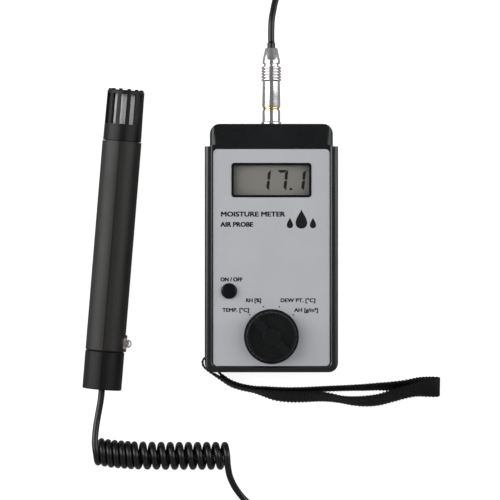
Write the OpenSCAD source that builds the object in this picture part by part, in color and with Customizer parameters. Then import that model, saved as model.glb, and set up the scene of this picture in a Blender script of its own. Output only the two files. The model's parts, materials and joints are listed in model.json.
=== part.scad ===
// Hand-held moisture meter in a rubber holster, with a tubular air probe on a curly cord.
// It lies on its back: the back face is at z = 0, the face looks along +Z, the socket end is at +Y.

/* [Case] */
// Width of the plastic case
case_w = 74.8; // [68:0.1:90]
// Length of the plastic case
case_l = 148.5; // [130:0.5:180]
// Thickness of the plastic case
case_t = 28.5; // [28.5:0.1:36]
// Wall of the case shells
case_wall = 2.2; // [1.8:0.1:2.6]
// Plan radius of the case's two top corners
case_top_r = 6.2; // [5:0.1:8]
// Plan radius of the case's two bottom corners
case_bottom_r = 7; // [6.5:0.1:10]
// Round-over of the case's long edges
case_edge_r = 2; // [1:0.1:2.4]
// Round-over of the front edges where the case stands out of the holster
case_head_r = 4; // [2.2:0.1:5]
// Height of the rear shell above the case's back
rear_shell_t = 7.5; // [6:0.1:8]
// Radius of the posts that the case screws hold
post_r = 3; // [2.6:0.1:3.4]
// Radius of a case screw's shank
screw_r = 1.45; // [1.2:0.05:1.6]

/* [Holster] */
// Thickness of the holster's back
holster_back = 2.5; // [2.3:0.1:4]
// Thickness of the holster's side walls
holster_wall = 3; // [2.4:0.1:4]
// Thickness of the holster's bottom wall
holster_end = 2.4; // [2:0.1:4]
// Thickness of the lip that holds the case's front
lip_t = 1.5; // [1:0.1:2.5]
// How far the side lips reach over the case
lip_over = 1.8; // [1:0.1:1.9]
// How far the bottom lip reaches over the case
lip_over_end = 1.3; // [0.8:0.1:1.3]
// Length of case that stands out of the holster
head_l = 13.8; // [10:0.1:20]
// Plan radius of the holster's outer bottom corners
holster_r = 6; // [5:0.1:8]
// Width of the strap slot through the corner
slot_w = 2.4; // [2:0.1:3]
// Height of the strap slot
slot_h = 13.6; // [13:0.1:15]

/* [Face] */
// Thickness of the printed face plate
plate_t = 0.5; // [0.3:0.1:0.8]
// Face plate margin inside the case's sides
plate_margin = 2.1; // [2.1:0.1:4]
// Length of case above the face plate
plate_head = 15.5; // [15:0.1:20]
// Width of the display bezel
bezel_w = 48.3; // [40:0.1:56]
// Height of the display bezel
bezel_l = 20.7; // [16:0.1:24]
// Width of the bezel's rim
bezel_rim = 1.3; // [1:0.1:2]
// Distance from the face plate's top edge to the display's centre
display_down = 18.8; // [16:0.1:24]
// Distance from the face plate's bottom edge to the knob's centre
knob_up = 17.9; // [17.5:0.1:24]
// Distance from the knob's centre up to the button's centre
button_up = 27.6; // [26:0.1:32]
// Distance from the case's side to the button's centre
button_in = 11.7; // [10:0.1:16]
// Diameter of the push button
button_d = 9.1; // [8:0.1:11]
// Travel of the push button
button_travel = 1.2; // [0.6:0.1:1.2]

/* [Selector] */
// Radius of the knob's foot
knob_r = 16.7; // [14:0.1:17]
// Radius of the knob's rim
knob_rim_r = 14.8; // [12.5:0.1:15]
// Height of the knob's skirt
knob_skirt_h = 7.4; // [6.6:0.1:9]
// Height of the grip bar above the skirt
knob_bar_h = 3; // [2.6:0.1:5]
// Width of the grip bar
knob_bar_w = 5; // [4:0.1:7]
// Radius of the knob's hub
knob_hub_r = 5.25; // [4.8:0.05:7]
// Radius of the selector shaft
shaft_r = 3; // [2.5:0.05:3.2]
// Clearance of the shaft in its bushing
shaft_fit = 0.05; // [0.02:0.01:0.1]

/* [Battery] */
// Length of the battery with its terminals
battery_l = 48.5; // [47:0.1:50]
// Width of the battery
battery_w = 26.5; // [25:0.1:27]
// Thickness of the battery
battery_t = 17.5; // [16.5:0.1:17.6]
// Travel of the battery cover to its lift-off place
cover_travel = 8; // [5:0.1:8]

/* [Socket and plug] */
// Height of the socket's axis above the table
socket_z = 18; // [17.8:0.1:20]
// Radius of the socket's barrel
socket_r = 5.45; // [5:0.05:6.5]
// Length of the socket that stands out of the case
socket_l = 8.5; // [6:0.1:12]
// Radius of the bore that takes the plug
socket_bore_r = 3.6; // [3:0.05:4]
// Radius of the gold contact ring
ring_r = 5; // [4.6:0.05:5.4]
// Length of the gold contact ring
ring_l = 2; // [1.5:0.1:3]
// Radius of the release sleeve
sleeve_r = 5.6; // [5.2:0.05:6]
// Length of the release sleeve
sleeve_l = 24.9; // [20:0.1:30]
// Bore radius of the release sleeve
sleeve_bore_r = 4.45; // [4.2:0.05:4.8]
// Clearance of the sleeve on the plug's body
sleeve_fit = 0.05; // [0.02:0.01:0.1]
// Travel of the release sleeve
sleeve_travel = 1.2; // [0.8:0.1:1.3]
// Length of the collet nut
collet_l = 9.7; // [8:0.1:14]
// Length of the cable collar that shows
collar_l = 3.3; // [2:0.1:5]

/* [Probe] */
// Radius of the probe's grip
grip_r = 12; // [10:0.1:13]
// Wall of the grip shells
grip_wall = 2.2; // [1.8:0.1:2.4]
// Length of the end cap
end_cap_l = 23.6; // [20:0.1:30]
// Length of the grip shells
grip_l = 128.6; // [100:0.1:150]
// Length of the sensor cage
cage_l = 31.3; // [26:0.1:40]
// Radius of the sensor cage
cage_r = 11.7; // [9.7:0.1:12]
// Wall of the sensor cage
cage_wall = 2; // [1.5:0.1:2.2]
// Width of a slot in the cage
cage_slot_w = 3.4; // [2.4:0.1:3.6]
// Outer radius of the filter sleeve in the cage
filter_r = 6.3; // [5.6:0.1:7.4]
// Length of the solid band below the slots
cage_band = 10; // [8:0.1:14]
// Depth of the V between the end cap and the grip
vee = 0.6; // [0.3:0.1:1]
// Width of the seam along the grip
seam_w = 0.8; // [0.4:0.1:1.2]

/* [Hanger] */
// Radius of the hanger stud's flange
stud_r = 5.2; // [4:0.1:5.2]
// Thickness of the hanger stud's flange
stud_t = 1.9; // [1.2:0.1:3]
// Middle radius of the wire ring
hanger_r = 2.1; // [1.9:0.05:3]
// Radius of the ring's wire
hanger_wire_r = 0.45; // [0.35:0.05:0.55]
// Clearance of the ring's pin in the stud
hanger_fit = 0.05; // [0.02:0.01:0.1]

/* [Soft parts] */
// Diameter of the round cord
cord_d = 4; // [3.5:0.1:4.2]
// Outer diameter of the curly cord
curl_d = 17.4; // [15:0.1:19]
// Width of the strap webbing
strap_w = 12; // [10:0.1:12.4]
// Thickness of the strap webbing
strap_t = 1.3; // [1:0.1:1.6]

/* [Hidden] */
$fn = 64;
fit = 0.1;
gap = 0.2;

// Heights through the case, from its back to its front
case_z0 = holster_back;
case_z1 = case_z0 + case_t;
split_z = case_z0 + rear_shell_t;
floor_z = case_z0 + case_wall;
roof_z = case_z1 - case_wall;

// Ends of the case: the origin is midway between the holster's end and the case's top
holster_y0 = -(holster_end + fit + case_l) / 2;
case_y0 = holster_y0 + holster_end + fit;
case_y1 = case_y0 + case_l;
case_x = case_w / 2;

// Tongue that locates the two shells
tongue_t = 1;
tongue_h = 1.5;
rear_wall = case_wall + fit + tongue_t;

// Holster
holster_x = case_x + fit + holster_wall;
holster_y1 = case_y1 - head_l;
holster_z1 = case_z1 + lip_t;
holster_edge_r = 2.4;
lip_x = case_x - lip_over;
lip_y0 = case_y0 + lip_over_end;
lip_r = 2.6;
lip_round = lip_t - 0.1;
slot_shift = (case_bottom_r + fit + slot_w / 2) * sqrt(0.5);
slot_x = -(case_x - case_bottom_r) - slot_shift;
slot_y = case_y0 + case_bottom_r - slot_shift;
slot_z = 1 + slot_h / 2;

// Case screws and posts
post_x = case_x - 7.4;
post_y1 = case_y1 - 9.5;
post_y0 = case_y0 + 7;
head_r = screw_r + 1.35;
head_h = 2;
boss_r = head_r + 1.4;

// Face plate and what sits in it
plate_x = case_x - plate_margin;
plate_y0 = lip_y0 + fit;
plate_y1 = case_y1 - plate_head;
plate_z1 = case_z1 + plate_t;
display_y = plate_y1 - display_down;
knob_y = plate_y0 + knob_up;
button_x = -(case_x - button_in);
button_y = knob_y + button_up;
bezel_h = plate_t + 0.4;
bezel_r = 1.7;
pane_t = 1;
pane_lap = 0.8;

// Main board, which hangs on bosses under the front shell's roof
board_gap = 4.2;
board_t = 1.6;
board_z1 = roof_z - board_gap;
board_z0 = board_z1 - board_t;
board_x = case_x - case_wall - 2.8;
board_y0 = post_y0 + post_r + 1;
board_y1 = post_y1 - post_r - 1;
board_boss_x = board_x - 3.4;
board_boss_y0 = board_y0 + 5;
board_boss_y1 = board_y1 - 5;
board_screw_r = 0.95;
glass_t = 2.7;
glass_w = bezel_w + 1.7;
glass_l = bezel_l + 2.9;

// Push button
flange_t = 0.7;
flange_z1 = roof_z - gap;
flange_z0 = flange_z1 - flange_t;
button_top = plate_z1 + 1.9;
switch_h = 2;
plunger_r = 1.75;

// Selector, from the switch on the board to the top of the knob
bushing_r = shaft_r + 0.9;
bushing_top = plate_z1 + 1.9;
knob_z0 = plate_z1 + 0.6;
skirt_z1 = knob_z0 + knob_skirt_h;
knob_z1 = skirt_z1 + knob_bar_h;
well_z = knob_z0 + 3.4;
knob_cap_t = 1.2;
shaft_top = skirt_z1 - 1;
pointer_turn = 135;

// Battery bay
bay_clear = 0.4;
battery_y = case_y0 + 27;
battery_z0 = floor_z + gap;
bay_y = battery_w / 2 + bay_clear;
bay_x = battery_l / 2 + 4.35;
bay_wall = 1.4;
bay_open_x = bay_x - 1.6;
cover_x = bay_open_x + 2.5;
cover_y = bay_y + 1.2;
cover_t = 1.1;
cover_gap = 0.1;
cover_z1 = case_z0 - cover_gap;
hook_t = 1.5;
hook_l = 4;
hook_reach = 1.2;
hook_h = 1;
pad_x = 20;
hook_places = [battery_y + bay_y - 2.65, battery_y - bay_y + 2.65 + cover_travel];

// Socket and plug, along the socket's axis from the case's top wall
flange_l = 1.2;
socket_y1 = case_y1 + socket_l;
ring_y1 = socket_y1 + ring_l;
sleeve_y1 = ring_y1 + sleeve_l;
collet_y0 = sleeve_y1 + sleeve_travel + 0.3;
collet_y1 = collet_y0 + collet_l;
collar_y1 = collet_y1 + collar_l;
thread_r = socket_r - 0.95;
insulator_y0 = case_y1 - 9.5;
insulator_y1 = insulator_y0 + 5.3;
plug_y0 = insulator_y1 + gap;
plug_nose_r = socket_bore_r - 0.05;
plug_core_r = sleeve_bore_r - sleeve_fit;
plug_tail_r = 3.1;
ridge_h = 0.5;
ridge_count = 5;
ridge_pitch = 1.8;
ridge_y0 = sleeve_y1 - ridge_count * ridge_pitch + 0.3;
collar_r = 2.45;

// Probe: it lies on the table beside the meter, turned a little from the meter's axis
probe_x = -103.8;
probe_y = -86.5;
probe_turn = 4.66;
grip_in = grip_r - grip_wall;
spigot_r = grip_in - fit;
spigot_wall = 1.5;
spigot_l = 1.2;
grip_z1 = end_cap_l + grip_l;
cage_z0 = grip_z1 + 0.4;
cage_z1 = cage_z0 + cage_l - 0.4;
cage_in = cage_r - cage_wall;
slot_z0 = cage_z0 + cage_band;
slot_z1 = cage_z1 - 2.2;
neck_l = 6;
probe_board_x = sqrt(pow(grip_in, 2) - pow(board_t / 2, 2)) - 0.02;
seam_turn = 2;
seam_depth = 0.5;
cage_bars = 12;
cage_turn = -2;
cage_crown_h = 0.8;
cage_taper = 0.35;
cage_tip_r = cage_r - cage_taper;
filter_wall = 0.8;
filter_z0 = grip_z1 - neck_l + 3.4;
filter_z1 = cage_z1 - cage_wall - gap;

// Hanger stud on the probe's side
stud_z = end_cap_l + stud_r + 0.2;
spot_x = grip_r - 1;
stud_x1 = spot_x + stud_t;
eye_x = stud_x1 + 0.55;
eye_r = 1.2;
stud_shank_r = 2;

// Round cord: it leaves the end cap, runs up to the top of the curl's first turn
lead_route = [[-103.8, -86.5, 12], [-104.3, -92, 12], [-105.2, -97.5, 12.1], [-106.2, -103, 12.4],
              [-107.1, -108.5, 13], [-107.7, -114, 13.8], [-107.9, -119, 14.8], [-107.4, -124, 15.4]];

// Axis of the curly part
curl_route = [[-109, -124.6, 8.7], [-98, -126.2, 8.7], [-85, -127.2, 8.7], [-65, -127.5, 8.7],
              [-45, -127.5, 8.7], [-25, -127.5, 8.7]];

// Tail: it drops to the table, goes round the meter and rises to the plug
tail_route = [[-27, -127.5, 15.4], [-26.5, -134, 14.5], [-25, -141, 10.5], [-21, -149, 5],
              [-14, -157, 2.3], [-3, -163.5, 2], [12, -167, 2], [35, -168, 2], [60, -168, 2],
              [85, -168.5, 2], [110, -169, 2], [133, -167.5, 2], [149, -159, 2], [155.5, -144, 2],
              [156, -120, 2], [155, -90, 2], [154, -60, 2], [153.5, -30, 2], [153.5, 0, 2],
              [153.5, 30, 2], [154, 60, 2], [155, 90, 2], [156, 120, 2], [155.5, 146, 2],
              [149, 162, 2], [133, 170.5, 2], [110, 172, 2], [85, 172.5, 2], [60, 173, 2],
              [42, 173, 2], [28, 171, 2.5], [14, 166, 6], [4.5, 156.5, 12], [0.8, 143, 16.8],
              [0, 134, 18], [0, 125.4, 18]];

// Strap: a closed band, each point with the lean of its width from the upright in degrees
strap_route = [[-36.3, -71.9, 7.8, 0], [-32.8, -75.5, 7.6, 1], [-29.4, -78.9, 7.3, 4],
               [-24.4, -82.4, 6.9, 5], [-18.2, -84.5, 6.6, 6], [-10.5, -85.7, 6.4, 8],
               [-4, -86.2, 6.3, 10], [3, -86.8, 6.2, 12], [12, -87.1, 6.2, 13],
               [21.4, -87, 6.1, 14], [32.7, -86.5, 6.1, 15], [46.5, -86, 6, 16],
               [57.8, -85.6, 5.9, 19], [66.3, -85.1, 5.8, 22], [74.8, -85, 5.4, 29],
               [83.3, -85, 4.6, 44], [90, -85, 3.1, 66], [97, -85.1, 1.4, 84],
               [101.6, -85.2, 0.8, 90], [103.3, -85.4, 2.2, 86], [101.6, -86, 3.9, 72],
               [97, -86.6, 5, 55], [90, -87, 5.6, 45], [83.3, -88.5, 5.4, 40],
               [74.8, -90.8, 5.4, 40], [66.3, -93.2, 5.5, 37], [57.8, -94.1, 5.5, 33],
               [50, -93.9, 5.6, 27], [43, -93, 5.8, 22], [36, -91.8, 5.8, 26],
               [29, -91.2, 5.7, 31], [19, -91.4, 5.7, 34], [10, -91.3, 5.7, 34],
               [2.5, -90.6, 5.8, 30], [-4, -89.2, 6.1, 20], [-10.5, -87.8, 6.4, 11],
               [-18.2, -86.2, 6.7, 6], [-24.4, -84.1, 6.9, 5], [-29.4, -81.1, 7.2, 5],
               [-33.7, -78.3, 7.5, 4], [-37.6, -76, 7.7, 3], [-40.1, -74.1, 7.8, 2],
               [-41.8, -71.9, 7.8, 1], [-42.1, -69.6, 7.8, 0], [-41.5, -68.2, 7.8, 0],
               [-40.1, -68, 7.8, 0]];

// ---- helpers ----

// Rounded outline, symmetric about x = 0, with one radius at its far end and one at its near end
module outline(w, y0, y1, far_r, near_r) {
  a = w / 2;
  mid = (y0 + near_r + y1 - far_r) / 2;
  union() {
    translate([-a, y0 + near_r]) square([w, y1 - far_r - y0 - near_r]);
    translate([-a + far_r, mid]) square([w - 2 * far_r, y1 - mid]);
    translate([-a + near_r, y0]) square([w - 2 * near_r, mid - y0]);
    for (s = [-1, 1]) {
      translate([s * (a - far_r), y1 - far_r]) circle(far_r);
      translate([s * (a - near_r), y0 + near_r]) circle(near_r);
    }
  }
}

module prism(w, y0, y1, z0, z1, far_r, near_r)
  translate([0, 0, z0]) linear_extrude(z1 - z0) outline(w, y0, y1, far_r, near_r);

// Prism whose edges are rounded over as well
module soft_prism(w, y0, y1, z0, z1, far_r, near_r, edge_r) intersection() {
  prism(w, y0, y1, z0, z1, far_r, near_r);
  translate([0, y1 + 1, 0]) rotate([90, 0, 0]) linear_extrude(y1 - y0 + 2)
    outline(w, z0, z1, edge_r, edge_r);
  translate([-w / 2 - 1, (y0 + y1) / 2, 0]) rotate([90, 0, 90]) linear_extrude(w + 2)
    outline(y1 - y0, z0, z1, edge_r, edge_r);
}

module slab(z0, z1) translate([-200, -200, z0]) cube([400, 400, z1 - z0]);

module box(x0, x1, y0, y1, z0, z1) translate([x0, y0, z0]) cube([x1 - x0, y1 - y0, z1 - z0]);

module rod(x, y, z0, z1, r) translate([x, y, z0]) cylinder(r = r, h = z1 - z0);

module tube(z0, z1, r, bore_r) difference() {
  translate([0, 0, z0]) cylinder(r = r, h = z1 - z0);
  translate([0, 0, z0 - 1]) cylinder(r = bore_r, h = z1 - z0 + 2);
}

module hex_nut(z0, z1, flats, bore_r) difference() {
  translate([0, 0, z0]) cylinder(r = flats / sqrt(3), h = z1 - z0, $fn = 6);
  translate([0, 0, z0 - 1]) cylinder(r = bore_r, h = z1 - z0 + 2);
}

// What a rounded edge of radius r cuts off a corner at [r, r]
module round_cut(r) difference() {
  square([r + 1, r + 1]);
  circle(r);
}

module at_posts() for (x = [-post_x, post_x], y = [post_y0, post_y1])
  translate([x, y, 0]) children();

module at_board_bosses() for (x = [-board_boss_x, board_boss_x])
  for (y = [board_boss_y0, board_boss_y1]) translate([x, y, 0]) children();

module on_knob_axis() translate([0, knob_y, 0]) children();

module on_button_axis() translate([button_x, button_y, 0]) children();

// Local +Z becomes the meter's +Y
module on_socket_axis() translate([0, 0, socket_z]) rotate([-90, 0, 0]) children();

// Local +Z runs up the probe from its end cap, and local -Y looks up from the table
module on_probe_axis() translate([probe_x, probe_y, grip_r]) rotate([0, 0, -probe_turn])
  rotate([-90, 0, 0]) children();

// Local +Z looks out of the probe's right side, through the hanger stud
module on_stud_axis() on_probe_axis() translate([0, 0, stud_z]) rotate([0, 90, 0]) children();

function unit(v) = v / norm(v);

// One point between each pair, on a smooth curve through them all
function smooth(p) = [for (i = [0 : len(p) - 2])
  let (a = p[max(i - 1, 0)], b = p[i], c = p[i + 1], d = p[min(i + 2, len(p) - 1)])
  each [b, (9 * (b + c) - a - d) / 16]];
function smooth_route(p) = concat(smooth(p), [p[len(p) - 1]]);

function heading(p, i) = unit(p[min(i + 1, len(p) - 1)] - p[max(i - 1, 0)]);

function ring_points(p, i, r, sides) =
  let (t = heading(p, i), u = unit(cross(t, [0, 0, 1])), v = cross(u, t))
  [for (k = [0 : sides - 1]) p[i] + r * cos(360 * k / sides) * u + r * sin(360 * k / sides) * v];

// Round tube swept along a route
module swept_tube(route, r, sides) {
  n = len(route);
  rings = [for (i = [0 : n - 1]) each ring_points(route, i, r, sides)];
  walls = [for (i = [0 : n - 2], k = [0 : sides - 1]) let (m = (k + 1) % sides)
    each [[i * sides + k, i * sides + m, (i + 1) * sides + m],
          [i * sides + k, (i + 1) * sides + m, (i + 1) * sides + k]]];
  near_end = [[for (k = [0 : sides - 1]) sides - 1 - k]];
  far_end = [[for (k = [0 : sides - 1]) (n - 1) * sides + k]];
  polyhedron(rings, concat(walls, near_end, far_end));
}

// ---- meter ----

module case_blank() difference() {
  soft_prism(case_w, case_y0, case_y1, case_z0, case_z1, case_top_r, case_bottom_r, case_edge_r);
  for (side = [0, 1]) mirror([side, 0, 0])
    translate([case_x - case_head_r, case_y1 + 1, case_z1 - case_head_r])
      rotate([90, 0, 0]) linear_extrude(head_l) round_cut(case_head_r);
}

module lip_round_cut() difference() {
  translate([-0.5, holster_z1 - lip_round]) square([lip_round + 0.5, lip_round + 1]);
  translate([lip_round, holster_z1 - lip_round]) circle(lip_round);
}

// Cuts the inner edge of the lip to a round bead, along both sides, the end and two corners
module lip_bead_cuts() {
  side_l = holster_y1 - lip_y0 - lip_r;
  for (side = [0, 1]) mirror([side, 0, 0]) {
    translate([lip_x, holster_y1 + 1, 0]) rotate([90, 0, 0]) linear_extrude(side_l + 1)
      lip_round_cut();
    translate([lip_x - lip_r, lip_y0 + lip_r, 0]) rotate([0, 0, -90]) rotate_extrude(angle = 90)
      translate([lip_r, 0]) lip_round_cut();
  }
  translate([lip_x - lip_r, lip_y0, 0]) rotate([90, 0, -90])
    linear_extrude(2 * (lip_x - lip_r)) lip_round_cut();
}

module holster() color([0.09, 0.09, 0.1]) difference() {
  intersection() {
    soft_prism(2 * holster_x, holster_y0, holster_y1 + 20, 0, holster_z1, 6, holster_r,
               holster_edge_r);
    box(-100, 100, -200, holster_y1, -1, 100);
  }
  soft_prism(case_w + 2 * fit, case_y0 - fit, case_y1 + 40, case_z0, case_z1, 5,
             case_bottom_r + fit, case_edge_r);
  prism(2 * lip_x, lip_y0, case_y1 + 40, case_z1 - 0.5, holster_z1 + 1, lip_r, lip_r);
  lip_bead_cuts();
  // Corner slot for the wrist strap
  translate([slot_x, slot_y, slot_z]) rotate([0, 0, -45]) cube([30, slot_w, slot_h], center = true);
  // Window for the battery cover and its travel
  box(-cover_x - 0.6, cover_x + 0.6, battery_y - cover_y - cover_travel - 0.6,
      battery_y + cover_y + 0.6, -1, case_z0 + 0.5);
}

module rear_cavity(z0, z1) prism(case_w - 2 * rear_wall, case_y0 + rear_wall,
  case_y1 - rear_wall, z0, z1, case_top_r - rear_wall, case_bottom_r - rear_wall);

module rear_shell() color([0.08, 0.08, 0.09]) difference() {
  union() {
    difference() {
      union() {
        intersection() {
          case_blank();
          slab(case_z0, split_z);
        }
        prism(case_w - 2 * (rear_wall - tongue_t), case_y0 + rear_wall - tongue_t,
              case_y1 - rear_wall + tongue_t, split_z - 2, split_z + tongue_h,
              case_top_r - rear_wall + tongue_t, case_bottom_r - rear_wall + tongue_t);
      }
      rear_cavity(floor_z, split_z + tongue_h + 1);
    }
    at_posts() rod(0, 0, floor_z - 0.5, split_z - fit, boss_r);
    // Battery bay walls
    difference() {
      box(-bay_x - bay_wall, bay_x + bay_wall, battery_y - bay_y - bay_wall,
          battery_y + bay_y + bay_wall, floor_z - 0.5, battery_z0 + battery_t - 4);
      box(-bay_x, bay_x, battery_y - bay_y, battery_y + bay_y, 0, 60);
    }
  }
  // Opening over the battery, with notches that let the cover's hooks out
  box(-bay_open_x, bay_open_x, battery_y - bay_y, battery_y + bay_y, 0, floor_z + 1);
  for (y = hook_places) box(-bay_open_x - 1.4, bay_open_x + 1.4, y - cover_travel - 2.2,
    y - cover_travel + 2.2, 0, floor_z + 0.1);
  at_posts() {
    rod(0, 0, 0, case_z0 + head_h + 0.2, head_r + 0.2);
    rod(0, 0, 0, split_z + 1, screw_r + 0.25);
  }
}

module front_shell() color([0.08, 0.08, 0.09]) difference() {
  union() {
    difference() {
      intersection() {
        case_blank();
        slab(split_z, case_z1 + 1);
      }
      prism(case_w - 2 * case_wall, case_y0 + case_wall, case_y1 - case_wall, split_z - 1,
            roof_z, case_top_r - case_wall, case_bottom_r - case_wall);
    }
    at_posts() rod(0, 0, split_z, roof_z + 0.5, post_r);
    at_board_bosses() rod(0, 0, board_z1, roof_z + 0.5, 2.6);
  }
  at_posts() rod(0, 0, split_z - 1, split_z + 10, screw_r + 0.05);
  at_board_bosses() rod(0, 0, board_z1 - 1, board_z1 + 3.6, board_screw_r + 0.05);
  // Display opening, with a ledge for the pane
  box(-bezel_w / 2 + bezel_rim, bezel_w / 2 - bezel_rim, display_y - bezel_l / 2 + bezel_rim,
      display_y + bezel_l / 2 - bezel_rim, roof_z - 1, case_z1 + 1);
  box(-bezel_w / 2 + bezel_rim - pane_lap - fit, bezel_w / 2 - bezel_rim + pane_lap + fit,
      display_y - bezel_l / 2 + bezel_rim - pane_lap - fit,
      display_y + bezel_l / 2 - bezel_rim + pane_lap + fit, case_z1 - pane_t, case_z1 + 1);
  on_button_axis() rod(0, 0, roof_z - 1, case_z1 + 1, button_d / 2 + gap);
  on_knob_axis() rod(0, 0, roof_z - 1, case_z1 + 1, bushing_r + fit);
  on_socket_axis() rod(0, 0, case_y1 - case_wall - 5, case_y1 + 1, thread_r + fit);
}

module face_plate() color([0.7, 0.71, 0.73]) difference() {
  prism(2 * plate_x, plate_y0, plate_y1, case_z1, plate_z1, 2.5, 2.5);
  prism(bezel_w + 2 * fit, display_y - bezel_l / 2 - fit, display_y + bezel_l / 2 + fit, 0, 100,
        bezel_r + fit, bezel_r + fit);
  on_button_axis() rod(0, 0, 0, 100, button_d / 2 + 0.25);
  on_knob_axis() rod(0, 0, 0, 100, bushing_r + 0.25);
}

module display_bezel() color([0.05, 0.05, 0.05]) difference() {
  prism(bezel_w, display_y - bezel_l / 2, display_y + bezel_l / 2, case_z1, case_z1 + bezel_h,
        bezel_r, bezel_r);
  prism(bezel_w - 2 * bezel_rim, display_y - bezel_l / 2 + bezel_rim,
        display_y + bezel_l / 2 - bezel_rim, case_z1 - 1, case_z1 + bezel_h + 1, 0.9, 0.9);
}

module display_pane() color([0.8, 0.85, 0.85, 0.3])
  box(-bezel_w / 2 + bezel_rim - pane_lap, bezel_w / 2 - bezel_rim + pane_lap,
      display_y - bezel_l / 2 + bezel_rim - pane_lap,
      display_y + bezel_l / 2 - bezel_rim + pane_lap, case_z1 - pane_t, case_z1);

module display_glass() color([0.5, 0.48, 0.44])
  box(-glass_w / 2, glass_w / 2, display_y - glass_l / 2, display_y + glass_l / 2,
      roof_z - fit - glass_t, roof_z - fit);

module contact_strips() color([0.8, 0.4, 0.5]) for (s = [-1, 1])
  translate([0, display_y + s * (glass_l / 2 - 1.5), (board_z1 + roof_z - fit - glass_t) / 2])
    cube([glass_w - 4, 2, roof_z - fit - glass_t - board_z1], center = true);

module main_board() color([0.1, 0.35, 0.2]) difference() {
  box(-board_x, board_x, board_y0, board_y1, board_z0, board_z1);
  at_board_bosses() rod(0, 0, 0, 100, board_screw_r + 0.15);
}

module board_parts() color([0.15, 0.15, 0.17]) {
  box(2, 20, -8, 2, board_z1, board_z1 + 2.2);
  box(-8, -1, -14, -4, board_z1, board_z1 + 1.8);
  box(14, 20, -24, -18, board_z1, board_z1 + 3);
  box(-16, -6, 8, 14, board_z1, board_z1 + 2.6);
  for (y = [6, 13]) rod(26, y, board_z1, board_z1 + 3.4, 2.5);
  for (x = [-20, -12, -4, 4]) box(x, x + 3.2, -32, -30.4, board_z1, board_z1 + 1);
}

module board_screws() color("silver") at_board_bosses() {
  rod(0, 0, board_z0 - 1.3, board_z0, 1.9);
  rod(0, 0, board_z0 - 0.1, board_z1 + 3, board_screw_r);
}

module button_cap() color([0.05, 0.05, 0.07]) on_button_axis() {
  rod(0, 0, flange_z0, flange_z1, button_d / 2 + 1);
  rod(0, 0, flange_z0, button_top - 0.4, button_d / 2);
  translate([0, 0, button_top - 0.4]) cylinder(r1 = button_d / 2, r2 = button_d / 2 - 0.4, h = 0.4);
}

module switch_plunger() color("ivory")
  on_button_axis() rod(0, 0, board_z1 + button_travel + gap, flange_z0, plunger_r);

module push_switch() color([0.2, 0.2, 0.2]) on_button_axis() difference() {
  box(-4, 4, -4, 4, board_z1, board_z1 + switch_h);
  rod(0, 0, 0, 100, plunger_r + 0.05);
}

module knob_bar_blank(z0, z1) rotate([0, 0, pointer_turn]) intersection() {
  box(-knob_rim_r, knob_rim_r, -knob_bar_w / 2, knob_bar_w / 2, z0, z1);
  rod(0, 0, z0, z1, knob_rim_r - 0.5);
}

module selector_knob() color([0.07, 0.07, 0.08]) on_knob_axis() difference() {
  union() {
    difference() {
      translate([0, 0, knob_z0]) cylinder(r1 = knob_r, r2 = knob_rim_r, h = knob_skirt_h);
      rod(0, 0, well_z, 100, knob_rim_r - 1.2);
    }
    knob_bar_blank(well_z - 0.5, knob_z1);
    rod(0, 0, well_z - 0.5, knob_z1 - knob_cap_t, knob_hub_r);
  }
  rod(0, 0, 0, bushing_top + 0.9, bushing_r + 4.1);
  rod(0, 0, 0, shaft_top, shaft_r);
  rod(0, 0, 0, 100, screw_r + 0.15);
  rod(0, 0, shaft_top + 0.6, 100, head_r + 0.3);
  rod(0, 0, knob_z1 - knob_cap_t, 100, knob_hub_r + fit);
}

module knob_cap() color([0.09, 0.09, 0.1]) on_knob_axis() {
  rod(0, 0, knob_z1 - knob_cap_t, knob_z1, knob_hub_r);
  rod(0, 0, knob_z1 - knob_cap_t - 0.6, knob_z1 - knob_cap_t + 0.1, head_r + 0.3);
}

module selector_shaft() color("silver") on_knob_axis() difference() {
  rod(0, 0, board_z1 + 0.6, shaft_top, shaft_r);
  rod(0, 0, shaft_top - 8, shaft_top + 1, screw_r + 0.05);
}

module knob_screw() color("silver") on_knob_axis() {
  rod(0, 0, shaft_top + 0.6, shaft_top + 1.8, head_r);
  rod(0, 0, shaft_top - 6, shaft_top + 0.7, screw_r);
}

module rotary_switch() color([0.25, 0.25, 0.27]) on_knob_axis() difference() {
  union() {
    rod(0, 0, board_z1, roof_z, 8);
    rod(0, 0, roof_z - 0.5, bushing_top, bushing_r);
  }
  rod(0, 0, board_z1 + 0.4, 100, shaft_r + shaft_fit);
}

module panel_nut() color("silver")
  on_knob_axis() hex_nut(plate_z1, bushing_top, 2 * bushing_r + 2.4, bushing_r + 0.05);

module battery() color([0.75, 0.6, 0.25]) translate([0, battery_y, battery_z0]) {
  translate([-battery_l / 2, 0, battery_t / 2]) rotate([90, 0, 90]) linear_extrude(battery_l - 2.1)
    outline(battery_w, -battery_t / 2, battery_t / 2, 2, 2);
  for (s = [-1, 1]) translate([battery_l / 2 - 2.2, s * 6.35, battery_t / 2]) rotate([0, 90, 0])
    cylinder(r = 3.2 + s * 0.5, h = 2.2);
}

module battery_snap() color([0.12, 0.12, 0.12])
  box(battery_l / 2, battery_l / 2 + 2.2, battery_y - 11.5, battery_y + 11.5,
      battery_z0 + 2.5, battery_z0 + battery_t - 2.5);

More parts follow.
